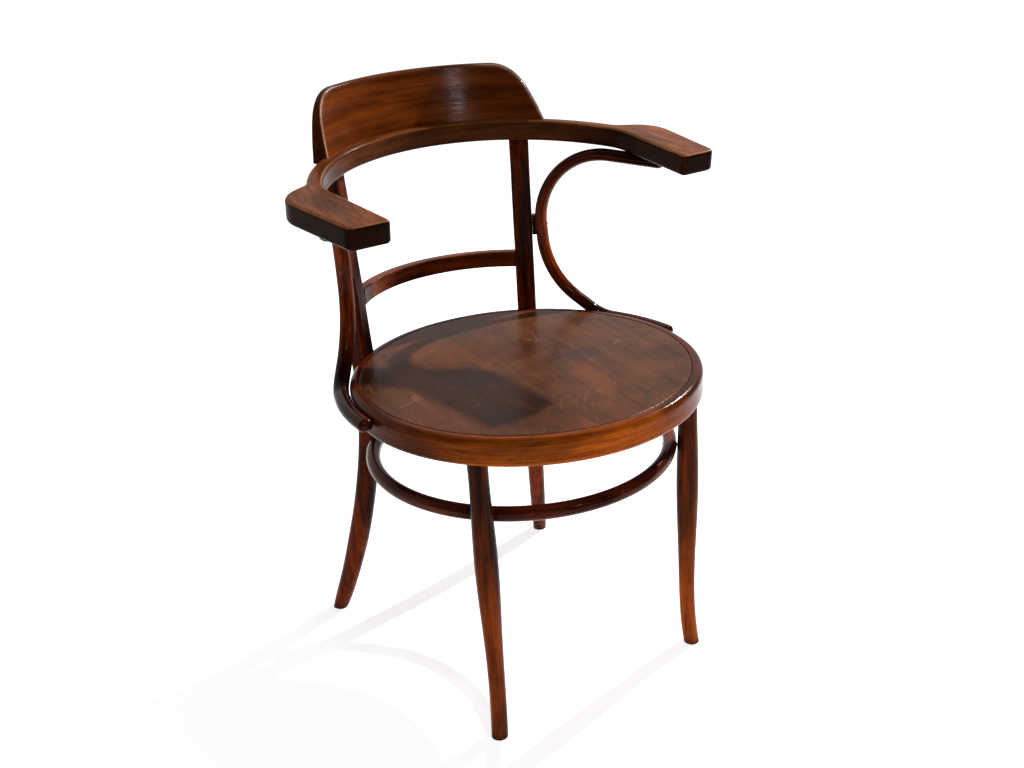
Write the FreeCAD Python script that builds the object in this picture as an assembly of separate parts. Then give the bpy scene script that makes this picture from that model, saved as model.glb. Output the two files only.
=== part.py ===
import FreeCAD, Part
import math
import os

os.makedirs("parts", exist_ok=True)

Vector = FreeCAD.Vector
UP = Vector(0, 0, 1)

# Driving dimensions, in millimetres and degrees.
# The chair stands on z = 0 with the seat's axis on x = y = 0 while it is built; its front faces -Y.

# Seat hoop and panel
seat_height = 445.0
seat_ring_outer_radius = 240.0
seat_ring_width = 40.0
seat_ring_height = 36.0
seat_ring_top_round = 9.0
seat_ring_bottom_round = 5.0
seat_panel_inset = 15.0
seat_panel_thickness = 6.0
seat_panel_edge_round = 1.5

# Front legs: angles are measured from the front, about the seat's axis
front_leg_top_angle = 51.2
front_leg_foot_angle = 49.6
front_leg_inward_lean = 2.0
front_leg_kick = 8.0
front_leg_kick_height = 110.0
# Place along the leg (0 foot, 1 seat hoop) and diameter there
front_leg_girths = (
    (0.0, 22.5),
    (0.147, 22.4),
    (0.293, 23.5),
    (0.465, 27.8),
    (0.648, 31.0),
    (0.844, 27.3),
    (1.0, 27.0),
)
leg_tenon_radius = 10.0
leg_tenon_length = 22.0

# Back posts: angle from the back, about the seat's axis
post_angle = 35.6
post_dado_depth = 3.5
post_lean = 0.0525
post_sweep = 111.4
post_sweep_power = 1.75
post_sweep_below_seat = 25.0
# Place along the leg (0 foot, 1 seat hoop's underside), width, depth and corner radius
post_leg_sections = (
    (0.0, 22.0, 23.3, 10.5),
    (0.147, 25.0, 29.8, 12.0),
    (0.367, 26.5, 32.5, 12.5),
    (0.733, 27.0, 30.0, 12.0),
    (1.0, 28.0, 28.0, 7.0),
)
post_width = 28.5
post_depth_at_seat = 26.0
post_depth_at_top = 20.0
post_corner = 4.5
post_leg_steps = 8
post_upper_steps = 5

# Arm bow, in its own tilted plane
arm_height_above_seat = 268.2
bow_rise = 0.10
bow_thickness = 29.0
bow_width = 21.0
bow_centre_ahead = 15.0
bow_half_angle = 64.0
bow_bend_radius = 72.0
bow_edge_round = 5.0
bow_over_post = 5.7
arm_reach = 75.0
arm_taper = 4.4
arm_inner_corner = 7.0

# Arm cheeks, glued to the outside of the bow
cheek_width_front = 34.4
cheek_width_back = 42.3
cheek_outer_corner = 13.0
ear_ahead_of_bend = 14.5
ear_radius = 49.0
ear_turn = 70.0
ear_hollow_radius = 20.0

# Back panel
panel_height = 74.0
panel_lean = 0.45
panel_seat_width = 9.3
panel_foot_thickness = 22.5
panel_top_thickness = 7.5
panel_lip_drop = 9.0
panel_edge_round = 2.5
panel_foot_angle = 42.0
panel_end_slant = 0.135
panel_corner = 34.0
panel_corner_overrun = 1.0
panel_dowel_radius = 3.0
panel_dowel_in_bow = 15.0
panel_dowel_in_panel = 25.0
panel_dowel_from_back = 3.8
panel_dowel_angles = (-27.0, -9.0, 9.0, 27.0)

# Lower back slat
slat_above_seat = 65.5
slat_height = 24.0
slat_thickness = 15.0
slat_sagitta = 54.0
slat_edge_round = 2.0
slat_tenon_height = 14.0
slat_tenon_thickness = 7.0
slat_tenon_depth = 10.0
slat_tenon_from_front = 8.5
slat_tenon_root = 5.0

# Side braces
brace_half_width = 10.8
brace_half_thickness = 9.0
brace_nose = 8.0
# Place along a rod end's rounded nose, and size of the section there
brace_nose_sizes = ((0.0, 1.0), (0.45, 0.9), (0.8, 0.65), (1.0, 0.35))
brace_end_y = 22.0
brace_waist_above_seat = 130.0
brace_set_forward = 8.0
brace_elbow_drop = 78.0
brace_elbow_out = 2.5
brace_elbow_forward = 6.5
brace_shoulder_radius = 103.0
brace_elbow_radius = 130.0
brace_heel_radius = 50.0
brace_heel_run = 34.0
brace_heel_angle = 20.0
brace_toe_angle = 0.0
brace_toe_run = 4.0
brace_below_seat = 12.5
brace_screw_from_end = 30.0
brace_spacer_thickness = 4.0
brace_spacer_height = 30.0
brace_spacer_depth = 12.0

# Foot ring
foot_ring_height = 321.0
foot_ring_rod_radius = 10.0

# Fasteners
bolt_radius = 3.0
bolt_head_radius = 8.0
bolt_head_height = 3.0
bolt_head_sink = 1.6
washer_radius = 9.0
washer_thickness = 1.5
washer_sink = 1.5
nut_across_flats = 10.0
nut_height = 5.0
bolt_end_past_nut = 2.0
screw_radius = 2.0
screw_head_radius = 3.8
screw_head_height = 2.2
screw_head_sink = 1.4
screw_tip = 4.0
screw_slot_width = 0.9
screw_slot_depth = 0.9
screw_bite = 16.0

# Gap left between pieces that fit into or lie against each other
joint_clearance = 0.3
hole_clearance = 0.2

# Limits used while shapes are made
shortest_line = 1e-6
halving_steps = 40

# Levels and radii that follow from the sizes above
seat_ring_bottom = seat_height - seat_ring_height
seat_ring_middle = seat_height - seat_ring_height / 2
seat_ring_inner_radius = seat_ring_outer_radius - seat_ring_width
seat_ring_mid_radius = seat_ring_outer_radius - seat_ring_width / 2
rebate_radius = seat_ring_outer_radius - seat_panel_inset
rebate_floor = seat_height - seat_panel_thickness
post_seat_radius = seat_ring_outer_radius - post_dado_depth + post_depth_at_seat / 2
slat_bottom = seat_height + slat_above_seat
slat_top = slat_bottom + slat_height
slat_middle = slat_bottom + slat_height / 2
brace_waist = seat_height + brace_waist_above_seat


def corner_arc(before, corner, after, radius):
    """Start, middle and end of the arc that rounds a plan corner; plan points are complex numbers."""
    to_before = (before - corner) / abs(before - corner)
    to_after = (after - corner) / abs(after - corner)
    half = math.acos((to_before * to_after.conjugate()).real) / 2
    bisector = (to_before + to_after) / abs(to_before + to_after)
    run = radius / math.tan(half)
    middle = corner + bisector * (radius / math.sin(half) - radius)
    return corner + to_before * run, middle, corner + to_after * run


def plan_wire(pieces, place):
    """Closed wire of plan pieces: two points are a line, three are an arc."""
    edges = []
    for points in pieces:
        placed = [place(point) for point in points]
        if len(placed) == 3:
            edges.append(Part.Arc(*placed).toShape())
        elif placed[0].distanceToPoint(placed[1]) > shortest_line:
            edges.append(Part.LineSegment(*placed).toShape())
    return Part.Wire(edges)


def rounded_polygon(corners, place):
    """Closed wire through plan corners (a, b, radius), with an arc at each corner that has a radius."""
    points = [complex(a, b) for a, b, radius in corners]
    rounds = []
    for index, (a, b, radius) in enumerate(corners):
        after = points[(index + 1) % len(points)]
        if radius > 0:
            rounds.append(corner_arc(points[index - 1], points[index], after, radius))
        else:
            rounds.append((points[index],))
    pieces = []
    for index, current in enumerate(rounds):
        pieces.append((rounds[index - 1][-1], current[0]))
        if len(current) == 3:
            pieces.append(current)
    return plan_wire(pieces, place)


def turned(corners):
    """Solid of revolution about Z of a closed profile of (radius, height, rounding) corners."""
    face = Part.Face(rounded_polygon(corners, lambda point: Vector(point.real, 0, point.imag)))
    return face.revolve(Vector(0, 0, 0), UP, 360)


def aimed(shape, point, direction):
    """Copy of a shape made along +Z, turned to a direction and moved to a point."""
    copy = shape.copy()
    copy.Placement = FreeCAD.Placement(point, FreeCAD.Rotation(UP, direction))
    return copy


def largest_solid(shape):
    return max(shape.Solids, key=lambda solid: solid.Volume)


def mirrored(shape):
    return shape.mirror(Vector(0, 0, 0), Vector(1, 0, 0))


# Screw and bolt shapes, made with the head's seat at z = 0 and the shank running down -Z

def headed_pin(shank_radius, length, tip, head_radius, head_height):
    """Round shank with a pointed or blunt tip under a head that is a cap of a sphere."""
    sphere = (head_radius ** 2 + head_height ** 2) / (2 * head_height)
    half_cap = math.asin(head_radius / sphere) / 2
    crown = complex(sphere * math.sin(half_cap), head_height - sphere + sphere * math.cos(half_cap))
    tip_radius = shank_radius if tip == 0 else 0
    pieces = [
        (complex(0, -length), complex(tip_radius, -length)),
        (complex(tip_radius, -length), complex(shank_radius, tip - length)),
        (complex(shank_radius, tip - length), complex(shank_radius, 0)),
        (complex(shank_radius, 0), complex(head_radius, 0)),
        (complex(head_radius, 0), crown, complex(0, head_height)),
        (complex(0, head_height), complex(0, -length)),
    ]
    face = Part.Face(plan_wire(pieces, lambda point: Vector(point.real, 0, point.imag)))
    return face.revolve(Vector(0, 0, 0), UP, 360)


def screw(length):
    """Slotted round-head wood screw with a pointed end."""
    body = headed_pin(screw_radius, length, screw_tip, screw_head_radius, screw_head_height)
    slot = Part.makeBox(
        screw_head_radius * 2, screw_slot_width, screw_slot_depth * 2,
        Vector(-screw_head_radius, -screw_slot_width / 2, screw_head_height - screw_slot_depth),
    )
    return body.cut(slot)


def screw_hole(length, head_room):
    """Space that a screw and its head take up, with clearance; the head's way out is head_room long."""
    shank = Part.makeCylinder(screw_radius + hole_clearance, length + hole_clearance, Vector(0, 0, 0), -UP)
    head = Part.makeCylinder(screw_head_radius + hole_clearance, head_room)
    return shank.fuse(head)


# Seat hoop and the panel in its rebate

seat_ring = turned((
    (seat_ring_inner_radius, seat_ring_bottom, seat_ring_bottom_round),
    (seat_ring_outer_radius, seat_ring_bottom, seat_ring_bottom_round),
    (seat_ring_outer_radius, seat_height, seat_ring_top_round),
    (rebate_radius, seat_height, seat_panel_edge_round),
    (rebate_radius, rebate_floor, 0),
    (seat_ring_inner_radius, rebate_floor, 0),
))
seat_panel = turned((
    (0, rebate_floor, 0),
    (rebate_radius - joint_clearance, rebate_floor, 0),
    (rebate_radius - joint_clearance, seat_height, seat_panel_edge_round),
    (0, seat_height, 0),
))


# Front legs: round sections lofted along a leaning, kicked-out line, with a tenon on top

def front_leg_centre(height):
    """Centre of the left front leg: straight from foot to hoop, plus the kick near the floor."""
    share = height / seat_ring_bottom
    angle = math.radians(front_leg_foot_angle + (front_leg_top_angle - front_leg_foot_angle) * share)
    radius = seat_ring_mid_radius - front_leg_inward_lean * (1 - share)
    radius += front_leg_kick * max(0, 1 - height / front_leg_kick_height) ** 2
    return Vector(radius * math.sin(angle), -radius * math.cos(angle), height)


leg_rings = []
for share, girth in front_leg_girths:
    centre = front_leg_centre(share * seat_ring_bottom)
    leg_rings.append(Part.Wire(Part.makeCircle(girth / 2, centre, UP)))
leg_top = front_leg_centre(seat_ring_bottom)
front_leg = Part.makeLoft(leg_rings, True, False)
front_leg = front_leg.fuse(Part.makeCylinder(leg_tenon_radius, leg_tenon_length, leg_top))
tenon_hole = Part.makeCylinder(
    leg_tenon_radius + hole_clearance, leg_tenon_length + hole_clearance, leg_top
)
seat_ring = seat_ring.cut(tenon_hole).cut(mirrored(tenon_hole))


# Back posts: rounded rectangles lofted along a swept line that stays in one upright plane

post_sine = math.sin(math.radians(post_angle))
post_cosine = math.cos(math.radians(post_angle))
post_outward = Vector(post_sine, post_cosine, 0)
post_sideways = Vector(post_cosine, -post_sine, 0)
bow_tilt = math.atan(bow_rise)
bow_level = seat_height + arm_height_above_seat
post_loft_top = bow_level + bow_rise * (post_seat_radius + bow_level * post_lean) * post_cosine


def post_radius(height):
    """Distance of the post's centre line from the seat's axis."""
    sweep_start = seat_height - post_sweep_below_seat
    sweep = post_sweep * max(0, 1 - height / sweep_start) ** post_sweep_power
    return post_seat_radius + post_lean * (height - seat_height) + sweep


def post_section(height):
    """Width, depth and corner radius of the post, straight between the stated sections."""
    table = [(share * seat_ring_bottom, *sizes) for share, *sizes in post_leg_sections]
    table.append((seat_height, post_width, post_depth_at_seat, post_corner))
    table.append((post_loft_top, post_width, post_depth_at_top, post_corner))
    for lower, upper in zip(table, table[1:]):
        if height <= upper[0]:
            break
    share = (height - lower[0]) / (upper[0] - lower[0])
    return [low + (high - low) * share for low, high in zip(lower[1:], upper[1:])]


def post_point(height, sideways, outward):
    """Point of the left post's own frame: from its centre line, along its width and its depth."""
    radius = post_radius(height) + outward
    return post_outward * radius + post_sideways * sideways + UP * height


def post_loft(growth):
    """The whole post as a loft through level sections, each grown by the same amount all round."""
    leg_step = seat_ring_bottom / post_leg_steps
    upper_step = (post_loft_top - seat_height) / post_upper_steps
    leg_levels = [leg_step * count for count in range(post_leg_steps + 1)]
    upper_levels = [seat_height + upper_step * count for count in range(post_upper_steps + 1)]
    wires = []
    for height in leg_levels + upper_levels:
        width, depth, corner = post_section(height)
        half_width = width / 2 + growth
        half_depth = depth / 2 + growth
        corners = [
            (-half_width, -half_depth, corner + growth),
            (half_width, -half_depth, corner + growth),
            (half_width, half_depth, corner + growth),
            (-half_width, half_depth, corner + growth),
        ]
        wires.append(rounded_polygon(corners, lambda p: post_point(height, p.real, p.imag)))
    return Part.makeLoft(wires, True, False)


def post_block(sides, depths, levels):
    """Upright block in the left post's frame, measured from its centre line at the lower level."""
    corners = [
        post_point(levels[0], sides[0], depths[0]),
        post_point(levels[0], sides[1], depths[0]),
        post_point(levels[0], sides[1], depths[1]),
        post_point(levels[0], sides[0], depths[1]),
    ]
    face = Part.Face(Part.makePolygon(corners + corners[:1]))
    return face.extrude(UP * (levels[1] - levels[0]))


back_post = post_loft(0)
post_room = post_loft(joint_clearance)
seat_ring = seat_ring.cut(post_room).cut(mirrored(post_room))


# Arm bow and cheeks, drawn in the tilted plane of the bow's top

bow_along = Vector(0, math.cos(bow_tilt), math.sin(bow_tilt))
bow_up = Vector(0, -math.sin(bow_tilt), math.cos(bow_tilt))
bow_origin = UP * bow_level


def bow_place(point, rise=0.0):
    """Point of the bow's plane: sideways, back along the tilt, and above the bow's top."""
    return bow_origin + Vector(1, 0, 0) * point.real + bow_along * point.imag + bow_up * rise


def heading(angle):
    """Unit plan vector at an angle from straight back, towards the sitter's left."""
    return complex(math.sin(math.radians(angle)), math.cos(math.radians(angle)))


bow_centre = complex(0, -bow_centre_ahead)
bow_underside_at_post = bow_level + bow_rise * post_seat_radius * post_cosine - bow_thickness
post_front_top = post_point(bow_underside_at_post, 0, -post_section(bow_underside_at_post)[1] / 2)
bow_outer_radius = abs(complex(post_front_top.x, post_front_top.y) - bow_centre) + bow_over_post
bow_inner_radius = bow_outer_radius - bow_width
bend_centre = bow_centre + (bow_inner_radius - bow_bend_radius) * heading(bow_half_angle)
arm_normal = heading(90 + arm_taper)
arm_forward = heading(180 + arm_taper)


def bow_edge_points(offset):
    """Ends of the bow's edge at an offset from its inner edge: arc to bend, bend to arm, arm's front."""
    bend_start = bow_centre + (bow_inner_radius + offset) * heading(bow_half_angle)
    bend_end = bend_centre + (bow_bend_radius + offset) * arm_normal
    run = (bend_end.imag + arm_reach) / math.cos(math.radians(arm_taper))
    return bend_start, bend_end, bend_end + run * arm_forward


def bow_edge_pieces(offset, front):
    """Left half of the bow's edge, from the arm's front to the middle of the back."""
    bend_start, bend_end, _ = bow_edge_points(offset)
    bend_middle = bend_centre + (bow_bend_radius + offset) * heading((bow_half_angle + 90 + arm_taper) / 2)
    arc_middle = bow_centre + (bow_inner_radius + offset) * heading(bow_half_angle / 2)
    arc_end = bow_centre + (bow_inner_radius + offset) * heading(0)
    return [
        (front, bend_end),
        (bend_end, bend_middle, bend_start),
        (bend_start, arc_middle, arc_end),
    ]


def both_sides(pieces):
    """A left half outline with its mirror image, as one closed run of pieces."""
    other = [tuple(-point.conjugate() for point in reversed(points)) for points in reversed(pieces)]
    return pieces + other


def bow_prism(pieces, top, bottom):
    """Solid of a plan outline between two heights above the bow's top."""
    face = Part.Face(plan_wire(pieces, lambda point: bow_place(point, top)))
    return face.extrude(bow_up * (bottom - top))


_, outer_bend_end, outer_front = bow_edge_points(bow_width)
_, _, inner_front = bow_edge_points(0)
cheek_front = outer_front + cheek_width_front * arm_normal
ear_start = outer_bend_end + ear_ahead_of_bend * arm_forward + cheek_width_back * arm_normal
cheek_line = (ear_start - cheek_front) / abs(ear_start - cheek_front)
cheek_front = ear_start - cheek_line * (ear_start.imag + arm_reach) / cheek_line.imag
ear_centre = ear_start + cheek_line * 1j * ear_radius
half_turn = complex(math.cos(math.radians(ear_turn / 2)), math.sin(math.radians(ear_turn / 2)))
ear_middle = ear_centre + (ear_start - ear_centre) * half_turn
ear_end = ear_centre + (ear_start - ear_centre) * half_turn ** 2
ear_line = cheek_line * half_turn ** 2

# The hollow behind the ear: an arc outside the bow that touches the ear's line and the bow's edge
hollow_offset = ear_end - ear_line * 1j * ear_hollow_radius - bow_centre
hollow_reach = bow_outer_radius + ear_hollow_radius
along = (hollow_offset * ear_line.conjugate()).real
run_to_hollow = -along - math.sqrt(along ** 2 - abs(hollow_offset) ** 2 + hollow_reach ** 2)
hollow_centre = bow_centre + hollow_offset + ear_line * run_to_hollow
hollow_start = ear_end + ear_line * run_to_hollow
hollow_end = bow_centre + (hollow_centre - bow_centre) * bow_outer_radius / hollow_reach
hollow_chord = (hollow_start + hollow_end) / 2 - hollow_centre
hollow_middle = hollow_centre + hollow_chord / abs(hollow_chord) * ear_hollow_radius
back_middle = bow_centre + bow_outer_radius * heading(0)
hollow_bearing = (hollow_end - bow_centre) / bow_outer_radius
arc_halfway = hollow_bearing + heading(0)
back_halfway = bow_centre + bow_outer_radius * arc_halfway / abs(arc_halfway)

inner_corner = corner_arc(cheek_front, inner_front, bow_edge_points(0)[1], arm_inner_corner)
outer_corner = corner_arc(ear_start, cheek_front, inner_front, cheek_outer_corner)
arm_outline = [
    (back_middle, back_halfway, hollow_end),
    (hollow_end, hollow_middle, hollow_start),
    (hollow_start, ear_end),
    (ear_end, ear_middle, ear_start),
    (ear_start, outer_corner[0]),
    outer_corner,
    (outer_corner[-1], inner_corner[0]),
    inner_corner,
] + bow_edge_pieces(0, inner_corner[-1])

arms_blank = bow_prism(both_sides(arm_outline), 0, -bow_thickness)
rim_edges = []
for face in arms_blank.Faces:
    flat = isinstance(face.Surface, Part.Plane)
    if flat and face.Surface.Axis.cross(bow_up).Length < shortest_line:
        rim_edges.extend(face.Edges)
arms_blank = arms_blank.makeFillet(bow_edge_round, rim_edges)


def inside_bow(offset, top, bottom):
    """Everything within the bow's outer edge, moved out by an offset, closed across the front."""
    overrun = arm_forward * arm_reach
    front = bow_edge_points(bow_width + offset)[2] + overrun
    pieces = [(complex(0, front.imag), front)] + bow_edge_pieces(bow_width + offset, front)
    return bow_prism(both_sides(pieces), top, bottom)


arm_bow = arms_blank.common(inside_bow(0, bow_thickness, -2 * bow_thickness))
cheeks = arms_blank.cut(inside_bow(joint_clearance, bow_thickness, -2 * bow_thickness))
arm_cheek = max(cheeks.Solids, key=lambda solid: solid.CenterOfMass.x)


# Back posts' tops: a shoulder under the bow and a tongue behind it, stopped under the panel's lip

bow_room = inside_bow(joint_clearance, panel_height, -bow_thickness)
above_tongue_corners = [
    bow_place(complex(a, b) * 2 * bow_outer_radius, -panel_lip_drop - joint_clearance)
    for a, b in ((-1, -1), (1, -1), (1, 1), (-1, 1))
]
above_tongue = Part.Face(Part.makePolygon(above_tongue_corners + above_tongue_corners[:1]))
above_tongue = above_tongue.extrude(bow_up * (panel_height + bow_thickness))
back_post = largest_solid(back_post.cut(bow_room).cut(above_tongue))


# Back panel: a leaning turned shell, trimmed to its outline, rebated over the bow's back edge

panel_inner_foot = bow_outer_radius - panel_seat_width
panel_outer_foot = panel_inner_foot + panel_foot_thickness
panel_inner_top = panel_inner_foot + panel_lean * panel_height
panel_rebate = bow_outer_radius + joint_clearance
panel_profile = (
    (panel_inner_foot, 0, 0),
    (panel_rebate, 0, 0),
    (panel_rebate, -panel_lip_drop, 0),
    (panel_outer_foot - panel_edge_round, -panel_lip_drop, 0),
    (panel_outer_foot, panel_edge_round - panel_lip_drop, 0),
    (panel_outer_foot, 0, 0),
    (panel_inner_top + panel_top_thickness, panel_height, panel_edge_round),
    (panel_inner_top, panel_height, panel_edge_round),
)
panel_face = Part.Face(rounded_polygon(
    panel_profile, lambda point: bow_place(bow_centre + complex(0, point.real), point.imag)
))
panel_shell = panel_face.revolve(bow_place(bow_centre), bow_up, 180)
panel_shell.rotate(bow_place(bow_centre), bow_up, -90)


panel_end_angle = panel_foot_angle - panel_end_slant * panel_height / 2


def panel_end_point(rise, turned_in):
    """Point of the left end's outline on the panel's inner face: sideways from its end line, and rise."""
    angle = panel_foot_angle - panel_end_slant * rise - turned_in - panel_end_angle
    radius = panel_inner_foot + panel_lean * rise
    return complex(radius * math.tan(math.radians(angle)), rise)


def panel_end_place(point):
    """Point of the upright plane through the bow's centre that faces along the panel's left end."""
    return bow_place(bow_centre + heading(panel_end_angle + 90) * point.real, point.imag)


# Everything past the left end: a slanting line, then a curve that runs out just above the top edge
panel_trim_top = panel_height + panel_corner_overrun
trim_foot = panel_end_point(-2 * panel_lip_drop, 0)
trim_waist = panel_end_point(panel_height - panel_corner, 0)
trim_corner = panel_end_point(panel_trim_top, 0)
trim_flat = panel_end_point(panel_trim_top, math.degrees(panel_corner / panel_inner_top))
trim_outside = [
    trim_flat,
    complex(trim_flat.real, 2 * panel_height),
    complex(2 * panel_inner_top, 2 * panel_height),
    complex(2 * panel_inner_top, trim_foot.imag),
    trim_foot,
    trim_waist,
]
corner_curve = Part.BezierCurve()
corner_curve.setPoles([panel_end_place(point) for point in (trim_waist, trim_corner, trim_flat)])
trim_edges = [corner_curve.toShape()]
for low, high in zip(trim_outside, trim_outside[1:]):
    trim_edges.append(Part.LineSegment(panel_end_place(low), panel_end_place(high)).toShape())
end_aim = bow_place(heading(panel_end_angle)) - bow_origin
panel_trim = Part.Face(Part.Wire(trim_edges)).extrude(end_aim * (2 * panel_inner_top))
back_panel = largest_solid(panel_shell.cut(panel_trim).cut(mirrored(panel_trim)))


# Lower back slat: an arc between the posts' front corners, tenoned into both posts

slat_post_width, slat_post_depth, _ = post_section(slat_middle)
slat_end = post_point(slat_middle, -slat_post_width / 2, -slat_post_depth / 2)
slat_radius = (slat_end.x ** 2 + slat_sagitta ** 2) / (2 * slat_sagitta)
slat_centre = complex(0, slat_end.y + slat_sagitta - slat_radius)
slat_half_angle = math.degrees(math.atan2(slat_end.x, slat_end.y - slat_centre.imag))
slat_profile = rounded_polygon(
    (
        (slat_radius, slat_bottom, slat_edge_round),
        (slat_radius + slat_thickness, slat_bottom, slat_edge_round),
        (slat_radius + slat_thickness, slat_top, slat_edge_round),
        (slat_radius, slat_top, slat_edge_round),
    ),
    lambda point: Vector(0, slat_centre.imag + point.real, point.imag),
)
slat_axis = Vector(0, slat_centre.imag, 0)
slat = Part.Face(slat_profile).revolve(slat_axis, UP, 2 * slat_half_angle)
slat.rotate(slat_axis, UP, -slat_half_angle)
slat = largest_solid(slat.cut(post_room).cut(mirrored(post_room)))


def slat_tenon(growth):
    """Tenon on the slat's left end, a block square to the post, grown on all sides by an amount."""
    sides = (-slat_post_width / 2 - slat_tenon_root, -slat_post_width / 2 + slat_tenon_depth + growth)
    middle = slat_tenon_from_front - slat_post_depth / 2
    depths = (middle - slat_tenon_thickness / 2 - growth, middle + slat_tenon_thickness / 2 + growth)
    half_height = slat_tenon_height / 2 + growth
    return post_block(sides, depths, (slat_middle - half_height, slat_middle + half_height))


lower_back_slat = slat.fuse(slat_tenon(0)).fuse(mirrored(slat_tenon(0))).removeSplitter()
back_post = largest_solid(back_post.cut(slat_tenon(hole_clearance)))


# Side braces: an oval rod along straight runs joined by arcs, from under the arm to the seat hoop

def rounded_path(points, radii):
    """Open wire through points, with an arc of the stated radius at each inner point."""
    edges = []
    start = points[0]
    for before, corner, after, radius in zip(points, points[1:], points[2:], radii):
        to_before = (before - corner).normalize()
        to_after = (after - corner).normalize()
        half = to_before.getAngle(to_after) / 2
        run = radius / math.tan(half)
        bisector = (to_before + to_after).normalize()
        arc_start = corner + to_before * run
        arc_end = corner + to_after * run
        middle = corner + bisector * (radius / math.sin(half) - radius)
        edges.append(Part.LineSegment(start, arc_start).toShape())
        edges.append(Part.Arc(arc_start, middle, arc_end).toShape())
        start = arc_end
    edges.append(Part.LineSegment(start, points[-1]).toShape())
    return Part.Wire(edges)


def bow_underside(y):
    """Height above the floor of the plane of the bow's underside, at a distance behind the seat's axis."""
    return bow_level + bow_rise * y - bow_thickness / math.cos(bow_tilt)


def ring_tangent(angle, radius):
    """Point at an angle from straight left, towards the back, on a circle about the seat, and its tangent."""
    bearing = math.radians(angle)
    point = Vector(radius * math.cos(bearing), radius * math.sin(bearing), seat_height - brace_below_seat)
    return point, Vector(-math.sin(bearing), math.cos(bearing), 0)


# The rod's upper end lies under the middle of the arm
arm_inner_at_end = inner_front + arm_forward * ((inner_front.imag - brace_end_y) / -arm_forward.imag)
cheek_at_end = cheek_front + cheek_line * ((brace_end_y - cheek_front.imag) / cheek_line.imag)
brace_drop = brace_half_thickness / math.cos(bow_tilt) + joint_clearance
end_x = (arm_inner_at_end.real + cheek_at_end.real) / 2
brace_end = Vector(end_x, brace_end_y, bow_underside(brace_end_y) - brace_drop)

# The rod's oval section is widest across the upright plane of its upper bend
waist_width = post_section(brace_waist)[0]
to_arm = brace_end - post_point(brace_waist, waist_width, -brace_set_forward)
to_arm = Vector(to_arm.x, to_arm.y, 0).normalize()
across_brace = to_arm.cross(UP)
half_towards_post = math.hypot(
    brace_half_width * across_brace.dot(post_sideways), brace_half_thickness * to_arm.dot(post_sideways)
)
waist_offset = waist_width / 2 + 2 * joint_clearance + brace_spacer_thickness + half_towards_post
waist_point = post_point(brace_waist, waist_offset, -brace_set_forward)
elbow_point = waist_point + Vector(brace_elbow_out, -brace_elbow_forward, -brace_elbow_drop)

# The shoulder lies where the line from elbow to waist reaches the level of the rod under the bow
climb = (waist_point - elbow_point) * (1 / brace_elbow_drop)
level_gap = bow_underside(waist_point.y) - brace_drop - waist_point.z
shoulder_point = waist_point + climb * (level_gap / (1 - bow_rise * climb.y))

# Beside the hoop the rod follows a circle about the seat's axis
brace_ring_radius = seat_ring_outer_radius + joint_clearance + brace_half_width
heel_touch, heel_tangent = ring_tangent(brace_heel_angle, brace_ring_radius)
heel_point = heel_touch + heel_tangent * brace_heel_run
toe_touch, toe_tangent = ring_tangent(brace_toe_angle, brace_ring_radius)
toe_half = math.radians(brace_heel_angle - brace_toe_angle) / 2
hoop_corner = toe_touch + toe_tangent * (brace_ring_radius * math.tan(toe_half))
brace_toe = toe_touch - toe_tangent * brace_toe_run
brace_path = rounded_path(
    [brace_end, shoulder_point, elbow_point, heel_point, hoop_corner, brace_toe],
    [brace_shoulder_radius, brace_elbow_radius, brace_heel_radius, brace_ring_radius],
)


def brace_oval(centre, along, growth):
    """The rod's oval section at a point, square to a direction, grown by an amount all round."""
    across = along.cross(UP).normalize()
    wide = across * (brace_half_width + growth)
    thick = across.cross(along).normalize() * (brace_half_thickness + growth)
    return Part.Wire(Part.Ellipse(centre + wide, centre + thick, centre).toShape())


brace_start_direction = (shoulder_point - brace_end).normalize()
side_brace = brace_path.makePipeShell([brace_oval(brace_end, brace_start_direction, 0)], True, False)
rod_ends = [face for face in side_brace.Faces if isinstance(face.Surface, Part.Plane)]
for face in rod_ends:
    outward = face.normalAt(0, 0)
    if side_brace.isInside(face.CenterOfMass + outward, joint_clearance, False):
        outward = outward * -1
    nose_wires = []
    for share, size in brace_nose_sizes:
        wire = face.OuterWire.copy()
        wire.scale(size, face.CenterOfMass)
        wire.translate(outward * (brace_nose * share))
        nose_wires.append(wire)
    side_brace = side_brace.fuse(Part.makeLoft(nose_wires, True, False))
side_brace = side_brace.removeSplitter()

# Spacer between the brace and its post, hollowed to the rod
spacer_sides = (waist_width / 2 + joint_clearance, waist_offset)
spacer_depths = (-brace_set_forward - brace_spacer_depth / 2, -brace_set_forward + brace_spacer_depth / 2)
spacer_levels = (brace_waist - brace_spacer_height / 2, brace_waist + brace_spacer_height / 2)
brace_spacer = post_block(spacer_sides, spacer_depths, spacer_levels)
rod_line = climb * (2 * brace_spacer_height)
wide_room = across_brace * (brace_half_width + joint_clearance)
thick_room = to_arm * (brace_half_thickness + joint_clearance)
rod_low = waist_point - climb * brace_spacer_height
rod_oval = Part.Ellipse(rod_low + wide_room, rod_low + thick_room, rod_low)
rod_room = Part.Face(Part.Wire(rod_oval.toShape())).extrude(rod_line)
brace_spacer = largest_solid(brace_spacer.cut(rod_room))


# Foot ring: a rod bent to a circle that lies inside all four legs

leg_slice = front_leg.slice(UP, foot_ring_height)[0]
post_slice = back_post.slice(UP, foot_ring_height)[0]


def leg_distances(centre_y):
    """Level distances from a point behind the seat's axis to the nearest sides of leg and post."""
    centre = Part.Vertex(Vector(0, centre_y, foot_ring_height))
    return centre.distToShape(leg_slice)[0], centre.distToShape(post_slice)[0]


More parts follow.
